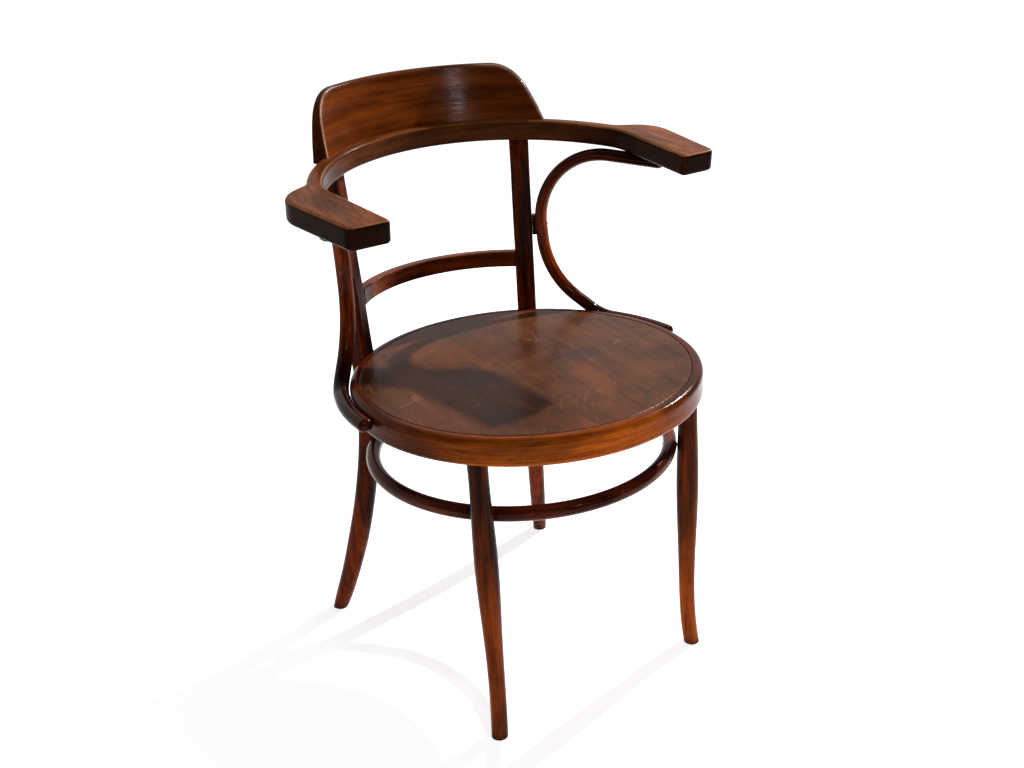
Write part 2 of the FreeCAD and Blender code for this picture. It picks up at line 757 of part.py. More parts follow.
nearest_y = -seat_ring_inner_radius
farthest_y = seat_ring_inner_radius
for _ in range(halving_steps):
    ring_y = (nearest_y + farthest_y) / 2
    to_leg, to_post = leg_distances(ring_y)
    if to_leg < to_post:
        nearest_y = ring_y
    else:
        farthest_y = ring_y
foot_ring_centre = Vector(0, ring_y, foot_ring_height)
foot_ring_radius = to_leg - joint_clearance - foot_ring_rod_radius
foot_ring = Part.makeTorus(foot_ring_radius, foot_ring_rod_radius, foot_ring_centre, UP)


# Screws and bolts, each with its hole cut in the pieces it passes through

def ring_screw(limb_slice):
    """Seat, aim and length of a foot ring screw from inside the hoop to the nearest side of a limb."""
    touch = Part.Vertex(foot_ring_centre).distToShape(limb_slice)[1][0][1]
    outward = (touch - foot_ring_centre).normalize()
    seat = foot_ring_centre + outward * (foot_ring_radius - foot_ring_rod_radius + screw_head_sink)
    return seat, outward * -1, 2 * foot_ring_rod_radius + joint_clearance + screw_bite


foot_ring_screws = []
for slice_wire in (leg_slice, post_slice):
    seat, aim, length = ring_screw(slice_wire)
    hole = aimed(screw_hole(length, foot_ring_rod_radius), seat, aim)
    foot_ring = foot_ring.cut(hole).cut(mirrored(hole))
    if slice_wire is leg_slice:
        front_leg = front_leg.cut(hole)
    else:
        back_post = back_post.cut(hole)
    one = aimed(screw(length), seat, aim)
    foot_ring_screws.extend([one, mirrored(one)])

# Through the brace and spacer into the post
seat = waist_point + post_sideways * (half_towards_post - screw_head_sink)
length = 2 * half_towards_post + brace_spacer_thickness + screw_bite
hole = aimed(screw_hole(length, brace_half_width), seat, post_sideways)
side_brace = side_brace.cut(hole)
brace_spacer = brace_spacer.cut(hole)
back_post = back_post.cut(hole)
one = aimed(screw(length), seat, post_sideways)
brace_post_screws = [one, mirrored(one)]

# From below, through the brace's upper end into the arm
seat = brace_end + brace_start_direction * brace_screw_from_end
seat = seat - bow_up * (brace_half_thickness - screw_head_sink)
length = 2 * brace_half_thickness + screw_bite
hole = aimed(screw_hole(length, brace_half_width), seat, bow_up * -1)
side_brace = side_brace.cut(hole)
arm_bow = arm_bow.cut(hole).cut(mirrored(hole))
arm_cheek = arm_cheek.cut(hole)
one = aimed(screw(length), seat, bow_up * -1)
brace_arm_screws = [one, mirrored(one)]

# From inside the seat hoop into the brace's lower run
hoop_mid_angle = (brace_heel_angle + brace_toe_angle) / 2
touch, _ = ring_tangent(hoop_mid_angle, seat_ring_inner_radius + screw_head_sink)
inward = Vector(-touch.x, -touch.y, 0).normalize()
length = seat_ring_width + brace_half_width
hole = aimed(screw_hole(length, seat_ring_width), touch, inward)
seat_ring = seat_ring.cut(hole).cut(mirrored(hole))
side_brace = side_brace.cut(hole)
one = aimed(screw(length), touch, inward)
brace_seat_screws = [one, mirrored(one)]

# From behind, through each post's tongue into the bow
tongue_rise = -(bow_thickness + panel_lip_drop) / 2
tongue_post = post_point(bow_underside_at_post, 0, post_section(bow_underside_at_post)[1] / 2)
tongue_bearing = complex(tongue_post.x, tongue_post.y) - bow_centre
tongue_bearing = tongue_bearing / abs(tongue_bearing)
tongue_back = abs(complex(tongue_post.x, tongue_post.y) - bow_centre)
seat = bow_place(bow_centre + tongue_bearing * (tongue_back - screw_head_sink), tongue_rise)
back_aim = bow_place(tongue_bearing) - bow_origin
length = tongue_back - bow_outer_radius + screw_bite
hole = aimed(screw_hole(length, bow_width), seat, back_aim)
back_post = back_post.cut(hole)
arm_bow = arm_bow.cut(hole).cut(mirrored(hole))
one = aimed(screw(length), seat, back_aim)
bow_screws = [one, mirrored(one)]

# Each post is bolted to the seat hoop, with washer and nut on the hoop's inside
post_back = post_radius(seat_ring_middle) + post_section(seat_ring_middle)[1] / 2
head_seat = post_outward * (post_back - bolt_head_sink) + UP * seat_ring_middle
washer_seat = post_outward * (seat_ring_inner_radius + washer_sink) + UP * seat_ring_middle
nut_seat = washer_seat - post_outward * washer_thickness
bolt_end = seat_ring_inner_radius + washer_sink - washer_thickness - nut_height - bolt_end_past_nut
bolt_length = post_back - bolt_head_sink - bolt_end
bolt_hole = Part.makeCylinder(bolt_radius + hole_clearance, bolt_length, head_seat, post_outward * -1)
head_room = Part.makeCylinder(bolt_head_radius + hole_clearance, post_width, head_seat, post_outward)
washer_room = Part.makeCylinder(washer_radius + hole_clearance, post_width, washer_seat, post_outward * -1)
hoop_holes = bolt_hole.fuse(washer_room)
seat_ring = seat_ring.cut(hoop_holes).cut(mirrored(hoop_holes))
back_post = largest_solid(back_post.cut(bolt_hole).cut(head_room))
bolt = headed_pin(bolt_radius, bolt_length, 0, bolt_head_radius, bolt_head_height)
bolt = aimed(bolt, head_seat, post_outward)
post_bolts = [bolt, mirrored(bolt)]
washer = Part.makeCylinder(washer_radius, washer_thickness, washer_seat, post_outward * -1)
washer = washer.cut(bolt_hole)
post_washers = [washer, mirrored(washer)]
nut_corner = nut_across_flats / math.sqrt(3)
nut_corners = [
    Vector(nut_corner * math.cos(math.radians(60 * step)), nut_corner * math.sin(math.radians(60 * step)), 0)
    for step in range(6)
]
nut = Part.Face(Part.makePolygon(nut_corners + nut_corners[:1])).extrude(UP * nut_height)
nut = aimed(nut, nut_seat, post_outward * -1).cut(bolt_hole)
post_nuts = [nut, mirrored(nut)]

# Dowels between bow and panel lean with the panel
back_panel_dowels = []
for angle in panel_dowel_angles:
    foot_radius = bow_outer_radius - panel_dowel_from_back
    low = bow_place(
        bow_centre + heading(angle) * (foot_radius - panel_lean * panel_dowel_in_bow), -panel_dowel_in_bow
    )
    high = bow_place(
        bow_centre + heading(angle) * (foot_radius + panel_lean * panel_dowel_in_panel), panel_dowel_in_panel
    )
    lean = (high - low).normalize()
    run = low.distanceToPoint(high)
    dowel = Part.makeCylinder(panel_dowel_radius, run, low, lean)
    room = Part.makeCylinder(
        panel_dowel_radius + hole_clearance, run + 2 * hole_clearance, low - lean * hole_clearance, lean
    )
    arm_bow = arm_bow.cut(room)
    back_panel = back_panel.cut(room)
    back_panel_dowels.append(dowel)


# Named nodes: left pieces and their mirror images on the right

nodes = {
    "seat_ring": seat_ring,
    "seat_panel": seat_panel,
    "front_leg_left": front_leg,
    "front_leg_right": mirrored(front_leg),
    "back_post_left": back_post,
    "back_post_right": mirrored(back_post),
    "arm_bow": arm_bow,
    "arm_cheek_left": arm_cheek,
    "arm_cheek_right": mirrored(arm_cheek),
    "back_panel": back_panel,
    "lower_back_slat": lower_back_slat,
    "side_brace_left": side_brace,
    "side_brace_right": mirrored(side_brace),
    "brace_spacer_left": brace_spacer,
    "brace_spacer_right": mirrored(brace_spacer),
    "foot_ring": foot_ring,
    "post_bolts": Part.makeCompound(post_bolts),
    "post_washers": Part.makeCompound(post_washers),
    "post_nuts": Part.makeCompound(post_nuts),
    "foot_ring_screws": Part.makeCompound(foot_ring_screws),
    "brace_post_screws": Part.makeCompound(brace_post_screws),
    "brace_arm_screws": Part.makeCompound(brace_arm_screws),
    "brace_seat_screws": Part.makeCompound(brace_seat_screws),
    "bow_screws": Part.makeCompound(bow_screws),
    "back_panel_dowels": Part.makeCompound(back_panel_dowels),
}

# The part's origin is on the floor, under the middle of its bounding box
whole = FreeCAD.BoundBox()
for shape in nodes.values():
    whole.add(shape.optimalBoundingBox(False, False))
to_origin = Vector(0, -whole.Center.y, 0)
for name, shape in nodes.items():
    shape.translate(to_origin)
    shape.exportStep(f"parts/{name}.step")
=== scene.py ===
import math

import bmesh
import bpy
import numpy as np
from mathutils import Matrix, Vector


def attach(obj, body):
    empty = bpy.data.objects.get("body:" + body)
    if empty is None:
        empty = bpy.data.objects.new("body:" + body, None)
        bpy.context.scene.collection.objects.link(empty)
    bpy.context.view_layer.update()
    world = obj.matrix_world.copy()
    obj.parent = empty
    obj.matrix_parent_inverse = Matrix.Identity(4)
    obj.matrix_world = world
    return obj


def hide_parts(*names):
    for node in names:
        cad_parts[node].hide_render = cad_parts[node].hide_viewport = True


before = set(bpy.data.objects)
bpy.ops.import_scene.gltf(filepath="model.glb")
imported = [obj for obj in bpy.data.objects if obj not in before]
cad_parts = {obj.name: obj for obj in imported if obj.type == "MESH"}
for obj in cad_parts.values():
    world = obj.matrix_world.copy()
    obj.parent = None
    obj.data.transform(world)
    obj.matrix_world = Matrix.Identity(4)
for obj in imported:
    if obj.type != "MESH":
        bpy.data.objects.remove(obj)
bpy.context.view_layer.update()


# Seat hoop: a stick of beech, steamed and bent into a ring, its ends scarfed together at the back.
# It is stained red-brown under gloss varnish, and knees have rubbed the stain golden over the front.

def shader_node(tree, kind, inputs=None, **settings):
    """Adds one shader node: an input given as a socket is linked, any other value is set on its socket."""
    node = tree.nodes.new(kind)
    for name, value in settings.items():
        setattr(node, name, value)
    for name, value in (inputs or {}).items():
        if isinstance(value, bpy.types.NodeSocket):
            tree.links.new(value, node.inputs[name])
        else:
            node.inputs[name].default_value = value
    return node


def arithmetic(tree, operation, *values):
    """The result socket of one Math node."""
    return shader_node(tree, "ShaderNodeMath", dict(enumerate(values)), operation=operation).outputs[0]


def vector_arithmetic(tree, operation, *values):
    """The result socket of one Vector Math node: a number for a length or a dot product, else a vector."""
    outputs = shader_node(tree, "ShaderNodeVectorMath", dict(enumerate(values)), operation=operation).outputs
    return outputs["Value" if operation in ("LENGTH", "DOT_PRODUCT") else "Vector"]


def components(tree, vector):
    """The three sockets of a vector's parts."""
    return shader_node(tree, "ShaderNodeSeparateXYZ", {0: vector}).outputs


def joined(tree, *parts):
    """A vector from its parts; a part that isn't given is 0."""
    return shader_node(tree, "ShaderNodeCombineXYZ", dict(enumerate(parts))).outputs[0]


def stretched(tree, value, low, high):
    """A value stretched so that low becomes 0 and high becomes 1, smoothly, and no further."""
    limits = {"Value": value, "From Min": low, "From Max": high}
    return shader_node(tree, "ShaderNodeMapRange", limits, interpolation_type="SMOOTHSTEP").outputs["Result"]


def blended(tree, share, first, second, mode="MIX"):
    """Colour that goes from first to second as the share goes from 0 to 1."""
    first_socket, second_socket, result_socket = 6, 7, 2
    node = shader_node(tree, "ShaderNodeMix", {"Factor": share}, data_type="RGBA", blend_type=mode)
    for socket, value in ((node.inputs[first_socket], first), (node.inputs[second_socket], second)):
        if isinstance(value, bpy.types.NodeSocket):
            tree.links.new(value, socket)
        else:
            socket.default_value = (*value, 1)
    return node.outputs[result_socket]


def noise_mask(tree, vector, along, across, detail, low, high):
    """Noise drawn out along the grain: cycles per metre along and across it, stretched from low to high."""
    spread = shader_node(tree, "ShaderNodeMapping", {"Vector": vector, "Scale": (along, across, across)})
    noise = {"Vector": spread.outputs[0], "Scale": 1.0, "Detail": detail, "Roughness": 0.6}
    return stretched(tree, shader_node(tree, "ShaderNodeTexNoise", noise).outputs[0], low, high)


def new_group(name, inputs, outputs):
    """Empty shader node group with named sockets; gives its tree, its input node and its output node."""
    tree = bpy.data.node_groups.new(name, "ShaderNodeTree")
    for label, (kind, value) in inputs.items():
        socket = tree.interface.new_socket(label, in_out="INPUT", socket_type="NodeSocket" + kind)
        socket.default_value = value
    for label, kind in outputs.items():
        tree.interface.new_socket(label, in_out="OUTPUT", socket_type="NodeSocket" + kind)
    return tree, tree.nodes.new("NodeGroupInput"), tree.nodes.new("NodeGroupOutput")


def put_out(tree, result, sockets):
    """Links what a node group gives to its named outputs."""
    for label, socket in sockets.items():
        tree.links.new(socket, result.inputs[label])


def use_group(tree, group, inputs):
    """The outputs of a node group that is placed in a material with its own values."""
    return shader_node(tree, "ShaderNodeGroup", inputs, node_tree=group).outputs


# Grain that follows a bend: run along the bend, distance from its axis, height. A ring turns all the way
# round its axis; an open bow turns half round it, behind the axis, and runs straight on to the front
bent_grain, given, result = new_group(
    "bent_grain",
    {"Position": ("Vector", (0, 0, 0)), "Axis": ("Vector", (0, 0, 0)), "Mean Radius": ("Float", 0.2),
     "Open": ("Float", 0.0)},
    {"Grain Space": "Vector"},
)
read = given.outputs
offset = components(bent_grain, vector_arithmetic(bent_grain, "SUBTRACT", read["Position"], read["Axis"]))
in_front = arithmetic(bent_grain, "MINIMUM", offset[1], 0.0)
straight = arithmetic(bent_grain, "MULTIPLY", in_front, read["Open"])
behind = arithmetic(bent_grain, "SUBTRACT", offset[1], straight)
facing = arithmetic(bent_grain, "MULTIPLY_ADD", read["Open"], 2.0, -1.0)
angle = arithmetic(bent_grain, "ARCTAN2", offset[0], arithmetic(bent_grain, "MULTIPLY", behind, facing))
bent_length = arithmetic(bent_grain, "MULTIPLY", angle, read["Mean Radius"])
side = arithmetic(bent_grain, "SIGN", offset[0])
run = arithmetic(bent_grain, "SUBTRACT", bent_length, arithmetic(bent_grain, "MULTIPLY", side, straight))
reach = vector_arithmetic(bent_grain, "LENGTH", joined(bent_grain, offset[0], behind))
put_out(bent_grain, result, {"Grain Space": joined(bent_grain, run, reach, offset[2])})

# Beech figure: cloudy stain, broad streaks, fine dark lines and the short dark flecks of the rays
beech_figure, given, result = new_group(
    "beech_figure",
    {"Grain Space": ("Vector", (0, 0, 0))},
    {"Clouds": "Float", "Streaks": "Float", "Lines": "Float", "Flecks": "Float"},
)
grain_space = given.outputs["Grain Space"]
put_out(beech_figure, result, {
    "Clouds": noise_mask(beech_figure, grain_space, along=7, across=22, detail=4, low=0.3, high=0.7),
    "Streaks": noise_mask(beech_figure, grain_space, along=4, across=95, detail=4, low=0.32, high=0.68),
    "Lines": noise_mask(beech_figure, grain_space, along=11, across=430, detail=3, low=0.36, high=0.66),
    "Flecks": noise_mask(beech_figure, grain_space, along=70, across=800, detail=2, low=0.54, high=0.68),
})

# Aged stain: deep and warm tones by clouds and streaks, worn wood where it is rubbed, then dark lines,
# flecks, and a darkening that is grime on some pieces and painted shade on others. Clouds, lines and wear
# dull the polish; lines and flecks are sunk a little
cloud_share, streak_share, deepest_tone, warmest_tone = 0.55, 0.45, 0.08, 0.92
least_wear, cloudy_wear = 0.3, 0.7
line_share, line_tint = 0.7, (0.25, 0.16, 0.12)
fleck_share, fleck_tint = 0.6, (0.2, 0.12, 0.1)
# Tint of the darkening: grime at the feet, painted shade on the bow, panel and braces, a darker top on the
# hoop
grime_and_shade_tint = (0.06, 0.045, 0.04)
dulling = 0.1
line_rise, fleck_rise, streak_rise = -0.6, -0.5, 0.5
aged_stain, given, result = new_group(
    "aged_stain",
    {"Clouds": ("Float", 0.5), "Streaks": ("Float", 0.5), "Lines": ("Float", 0.5), "Flecks": ("Float", 0.0),
     "Contrast": ("Float", 1.0), "Wear": ("Float", 0.0), "Grime And Shade": ("Float", 0.0), "Polish": ("Float", 0.16),
     "Deep": ("Color", (0.02, 0.005, 0.002, 1)), "Warm": ("Color", (0.2, 0.05, 0.01, 1)),
     "Worn": ("Color", (0.4, 0.2, 0.08, 1))},
    {"Colour": "Color", "Roughness": "Float", "Height": "Float"},
)
read = given.outputs
tone = arithmetic(aged_stain, "ADD", arithmetic(aged_stain, "MULTIPLY", read["Clouds"], cloud_share),
                  arithmetic(aged_stain, "MULTIPLY", read["Streaks"], streak_share))
tone = stretched(aged_stain, tone, deepest_tone, warmest_tone)
colour = blended(aged_stain, tone, read["Deep"], read["Warm"])
wear_by_place = arithmetic(aged_stain, "ADD", arithmetic(aged_stain, "MULTIPLY", read["Clouds"], cloudy_wear),
                           least_wear)
broken_wear = arithmetic(aged_stain, "MULTIPLY", read["Wear"], wear_by_place)
colour = blended(aged_stain, broken_wear, colour, read["Worn"])
for mask, share, tint in (("Lines", line_share, line_tint), ("Flecks", fleck_share, fleck_tint)):
    shade = arithmetic(aged_stain, "MULTIPLY", read[mask], share)
    shade = arithmetic(aged_stain, "MULTIPLY", shade, read["Contrast"])
    colour = blended(aged_stain, shade, colour, tint, "MULTIPLY")
colour = blended(aged_stain, read["Grime And Shade"], colour, grime_and_shade_tint, "MULTIPLY")
rough = read["Polish"]
for mask in (read["Clouds"], read["Lines"], broken_wear):
    rough = arithmetic(aged_stain, "MULTIPLY_ADD", mask, dulling, rough)
height = arithmetic(aged_stain, "MULTIPLY", read["Flecks"], fleck_rise)
height = arithmetic(aged_stain, "MULTIPLY_ADD", read["Lines"], line_rise, height)
height = arithmetic(aged_stain, "MULTIPLY_ADD", read["Streaks"], streak_rise, height)
put_out(aged_stain, result, {"Colour": colour, "Roughness": rough, "Height": height})


def object_position(tree):
    """The place of a surface point on the chair, in metres."""
    return shader_node(tree, "ShaderNodeTexCoord").outputs["Object"]


def surface_normal(tree):
    """The direction in which a surface point faces."""
    return shader_node(tree, "ShaderNodeNewGeometry").outputs["Normal"]


def bent_space(axis, mean_radius, is_open=False):
    """Maker of a grain space that runs round an upright axis."""
    def make(tree):
        values = {"Position": object_position(tree), "Axis": axis, "Mean Radius": mean_radius,
                  "Open": float(is_open)}
        return use_group(tree, bent_grain, values)["Grain Space"]
    return make


def new_material(name):
    """A new material, its node tree and its shader."""
    material = bpy.data.materials.new(name)
    material.use_nodes = True
    return material, material.node_tree, material.node_tree.nodes["Principled BSDF"]


def lay_on(tree, shader, colour, roughness, height, strength, depth):
    """Feeds a shader its colour and roughness, and a height as relief of a depth in metres."""
    tree.links.new(colour, shader.inputs["Base Color"])
    tree.links.new(roughness, shader.inputs["Roughness"])
    bump = shader_node(tree, "ShaderNodeBump", {"Height": height, "Strength": strength, "Distance": depth})
    tree.links.new(bump.outputs["Normal"], shader.inputs["Normal"])


def stained_material(name, grain, tones, wear=None, grime_and_shade=None, gloss=0.045, relief=0.00008, contrast=1.0,
                     polish=0.16):
    """Varnished beech: figure over a grain space, stain by the figure, wear and a darkening by their own
    masks;
    the darkening is grime on some pieces and painted shade on others.
    """
    material, tree, shader = new_material(name)
    shader.inputs["Specular IOR Level"].default_value = gloss
    figure = use_group(tree, beech_figure, {"Grain Space": grain(tree)})
    values = {label: figure[label] for label in ("Clouds", "Streaks", "Lines", "Flecks")}
    values.update({label: (*tone, 1) for label, tone in zip(("Deep", "Warm", "Worn"), tones)})
    values.update({"Contrast": contrast, "Polish": polish})
    if wear:
        values["Wear"] = wear(tree)
    if grime_and_shade:
        values["Grime And Shade"] = grime_and_shade(tree)
    stain = use_group(tree, aged_stain, values)
    lay_on(tree, shader, stain["Colour"], stain["Roughness"], stain["Height"], strength=0.6, depth=relief)
    return material


def dress(material, *names):
    """Gives CAD nodes a material."""
    for name in names:
        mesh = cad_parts[name].data
        mesh.materials.clear()
        mesh.materials.append(material)


def rounded_edge(low, high, top):
    """Maker of a mask of faces that lean between upright and level: 1 on a rounded upper edge."""
    def make(tree):
        lean = components(tree, surface_normal(tree))[2]
        below_level = arithmetic(tree, "SUBTRACT", 1.0, stretched(tree, lean, high, top))
        return arithmetic(tree, "MULTIPLY", stretched(tree, lean, low, high), below_level)
    return make


seat_axis = (0, -0.02309, 0)
hoop_radius = 0.22
hoop_rubbed_side, hoop_front_rub, hoop_edge_rub, hoop_top_darkness = (-0.45, -0.89, 0), 0.95, 0.12, 0.38
hoop_tones = ((0.03, 0.004, 0.0003), (0.22, 0.033, 0.0015), (0.92, 0.195, 0.008))


def hoop_wear(tree):
    """Wear over the front, where knees and cloth rub, and a little on the rounded top edge."""
    towards = vector_arithmetic(tree, "DOT_PRODUCT", object_position(tree), hoop_rubbed_side)
    front = arithmetic(tree, "MULTIPLY", stretched(tree, towards, low=0.14, high=0.27), hoop_front_rub)
    edge = arithmetic(tree, "MULTIPLY", rounded_edge(low=0.2, high=0.7, top=0.97)(tree), hoop_edge_rub)
    return arithmetic(tree, "MAXIMUM", front, edge)


def hoop_top_darkening(tree):
    """Darkens the level top of the hoop."""
    lean = components(tree, surface_normal(tree))[2]
    return arithmetic(tree, "MULTIPLY", stretched(tree, lean, low=0.35, high=0.95), hoop_top_darkness)


hoop_beech = stained_material("hoop_beech", bent_space(seat_axis, hoop_radius), hoop_tones, wear=hoop_wear,
                              grime_and_shade=hoop_top_darkening, gloss=0.055, contrast=0.8, polish=0.12)
dress(hoop_beech, "seat_ring")


# Seat panel: a round of thin plywood, let into a rebate in the hoop with a hairline gap round it.
# Its veneer is stained a greyer brown, dulled and scratched by use, with pale checks along old cracks.

seat_tones, seat_streak_share, seat_patch_share = ((0.052, 0.017, 0.0075), (0.168, 0.056, 0.023)), 0.3, 0.7
red_tone, red_share = (0.27, 0.07, 0.02), 0.55
spill_tone, spill_share = (0.05, 0.032, 0.026), 0.6
seat_line_tint, seat_line_share = (0.3, 0.2, 0.16), 0.12
scratch_tone, scuff_share, crack_share = (0.4, 0.19, 0.1), 0.2, 0.34
seat_gloss, seat_polish, seat_dulling = 0.045, 0.24, 0.12
seat_grain_turn = math.radians(-81)
scuff_axis, scuff_radius = (0.12, -0.3, 0), 0.2
crack_stray_cycles, crack_stray, crack_cells = 22.0, (0.06, 0.06, 0.0), (7.0, 16.0, 0.0)

seat_veneer, tree, shader = new_material("seat_veneer")
shader.inputs["Specular IOR Level"].default_value = seat_gloss
place = object_position(tree)
turned = {"Vector": place, "Rotation": (0, 0, seat_grain_turn)}
veneer_space = shader_node(tree, "ShaderNodeMapping", turned).outputs[0]
figure = use_group(tree, beech_figure, {"Grain Space": veneer_space})
patches = noise_mask(tree, place, along=9, across=9, detail=5, low=0.3, high=0.7)
veneer_tone = arithmetic(tree, "MULTIPLY_ADD", figure["Streaks"], seat_streak_share,
                         arithmetic(tree, "MULTIPLY", patches, seat_patch_share))
red_patches = noise_mask(tree, veneer_space, along=8, across=21, detail=5, low=0.52, high=0.72)
spills = noise_mask(tree, place, along=13, across=13, detail=6, low=0.53, high=0.75)
rub_path = {"Position": place, "Axis": scuff_axis, "Mean Radius": scuff_radius}
scuff_space = use_group(tree, bent_grain, rub_path)["Grain Space"]
scuffs = noise_mask(tree, scuff_space, along=17, across=300, detail=3, low=0.58, high=0.74)

# Cracks: thin borders of long cells, whose places stray by a noise, kept in scattered patches
stray = {"Vector": place, "Scale": crack_stray_cycles, "Detail": 3.0}
stray = shader_node(tree, "ShaderNodeTexNoise", stray).outputs["Color"]
stray = vector_arithmetic(tree, "MULTIPLY", stray, crack_stray)
strayed = vector_arithmetic(tree, "ADD", veneer_space, stray)
strayed = shader_node(tree, "ShaderNodeMapping", {"Vector": strayed, "Scale": crack_cells}).outputs[0]
cells = shader_node(tree, "ShaderNodeTexVoronoi", {"Vector": strayed, "Scale": 1.0},
                    feature="DISTANCE_TO_EDGE")
whole = stretched(tree, cells.outputs["Distance"], low=0.002, high=0.017)
crack_patches = noise_mask(tree, place, along=23, across=23, detail=3, low=0.5, high=0.66)
cracks = arithmetic(tree, "MULTIPLY", arithmetic(tree, "SUBTRACT", 1.0, whole), crack_patches)

colour = blended(tree, veneer_tone, *seat_tones)
for mask, share, tone, mode in (
    (red_patches, red_share, red_tone, "MIX"),
    (spills, spill_share, spill_tone, "MIX"),
    (figure["Lines"], seat_line_share, seat_line_tint, "MULTIPLY"),
    (scuffs, scuff_share, scratch_tone, "MIX"),
    (cracks, crack_share, scratch_tone, "MIX"),
):
    colour = blended(tree, arithmetic(tree, "MULTIPLY", mask, share), colour, tone, mode)
seat_rough = arithmetic(tree, "MULTIPLY_ADD", patches, seat_dulling, seat_polish)
lay_on(tree, shader, colour, seat_rough, figure["Streaks"], strength=0.5, depth=0.0001)
dress(seat_veneer, "seat_panel")


# Front legs: turned and slightly bent beech, swelling below the foot ring, tenoned up into the hoop.
# The stain is rubbed paler on the shins, and the feet are dark from wet floors.

leg_tones = ((0.025, 0.004, 0.0004), (0.24, 0.039, 0.002), (0.62, 0.115, 0.005))
shin_rub = 0.6


def upright_space(tree):
    """Grain that runs up: height first, then the two level directions."""
    parts = components(tree, object_position(tree))
    return joined(tree, parts[2], parts[0], parts[1])


def height_up(tree):
    """The height of a surface point above the floor, in metres."""
    return components(tree, object_position(tree))[2]


def foot_grime(tree):
    """Dirt that fades out upwards from the sole."""
    return arithmetic(tree, "SUBTRACT", 1.0, stretched(tree, height_up(tree), low=-0.01, high=0.02))


def shin_wear(tree):
    """Stain that is rubbed thinner and thinner towards the foot."""
    return arithmetic(tree, "MULTIPLY", stretched(tree, height_up(tree), low=0.3, high=0.04), shin_rub)


leg_beech = stained_material("leg_beech", upright_space, leg_tones, wear=shin_wear, grime_and_shade=foot_grime,
                             contrast=0.8, polish=0.1)
dress(leg_beech, "front_leg_left", "front_leg_right")


# Back posts: each back leg and its upright are one bent stick, let into the hoop's back and bolted to it.
# They are darker than the front legs, because less light and fewer hands have reached them.
# The spacers that carry the side braces are thin blocks of the same wood.

post_tones = ((0.025, 0.0035, 0.0004), (0.23, 0.031, 0.002))
post_beech = stained_material("post_beech", upright_space, post_tones, grime_and_shade=foot_grime)
dress(post_beech, "back_post_left", "back_post_right", "brace_spacer_left", "brace_spacer_right")


# Bolts, washers, nuts and screws: plain steel, the bolts through post and hoop, the screws into the wood.
# The metal is old, darkened by oil and air, with brown rust in small spots.

bare_steel, rusty_steel = (0.11, 0.1, 0.095), (0.06, 0.035, 0.022)
steel_polish, rust_dulling = 0.35, 0.3
dark_steel, tree, shader = new_material("dark_steel")
shader.inputs["Metallic"].default_value = 1.0
rust = noise_mask(tree, object_position(tree), along=600, across=600, detail=3, low=0.4, high=0.7)
tree.links.new(blended(tree, rust, bare_steel, rusty_steel), shader.inputs["Base Color"])
tree.links.new(arithmetic(tree, "MULTIPLY_ADD", rust, rust_dulling, steel_polish), shader.inputs["Roughness"])
dress(dark_steel, "post_bolts", "post_washers", "post_nuts", "foot_ring_screws", "brace_post_screws",
      "brace_arm_screws", "brace_seat_screws", "bow_screws")


# Foot ring: a round beech rod bent into a hoop that lies inside the legs, screwed to each from within.
# Shoes have polished it, and it has kept its darkest stain, with small chips down to red wood.

foot_ring_axis = (0, -0.00122, 0)
foot_ring_radius = 0.2093
foot_ring_tones = ((0.02, 0.004, 0.002), (0.27, 0.055, 0.022), (0.5, 0.05, 0.012))


def chips(tree):
    """Scattered small spots where the varnish is knocked off."""
    return noise_mask(tree, object_position(tree), along=70, across=70, detail=2, low=0.68, high=0.74)


foot_ring_beech = stained_material("foot_ring_beech", bent_space(foot_ring_axis, foot_ring_radius),
                                   foot_ring_tones, wear=chips, gloss=0.06, polish=0.03)
dress(foot_ring_beech, "foot_ring")


# Arm bow: a square beech stick bent into a U that is both back rail and arm rail, rising to the back.
# Blocks glued on at its ends widen it into flat arm rests. Hands have rubbed the edges to a golden brown,
# and the upright faces are darkened with painted shade, most on the sawn ends, whose end grain also takes
# the stain darker.

bow_axis = (0, -0.03809, 0)
bow_radius = 0.26
bow_tones = ((0.12, 0.03, 0.007), (0.31, 0.086, 0.024), (0.6, 0.27, 0.12))
# Shares of painted shade on the upright faces; on the sawn ends it also stands for end grain that stains
# darker
inner_back_shade, inner_arm_shade, outer_shade, end_stain_and_shade = 0.42, 0.43, 0.93, 0.97
back_rub, arm_rub = 0.15, 0.85


def between(tree, share, first, second):
    """A number that goes from first to second as the share goes from 0 to 1."""
    return shader_node(tree, "ShaderNodeMix", {0: share, 2: first, 3: second}).outputs[0]


def turned_out(tree, normal):
    """How far a face is turned away from the bow's middle line: 1 outside it, 0 square to it, -1 inside it.
    Along the straight arms, in front of the axis, outside is sideways."""
    least, level = (-1, 0, 0), (1, 1, 0)
    outwards = vector_arithmetic(tree, "SUBTRACT", object_position(tree), bow_axis)
    outwards = vector_arithmetic(tree, "MAXIMUM", outwards, least)
    outwards = vector_arithmetic(tree, "MULTIPLY", outwards, level)
    outwards = vector_arithmetic(tree, "NORMALIZE", outwards)
    return vector_arithmetic(tree, "DOT_PRODUCT", normal, outwards)


def arm_share(tree):
    """0 at the bow's back, 1 along the arms."""
    return stretched(tree, components(tree, object_position(tree))[1], low=0.17, high=0.05)


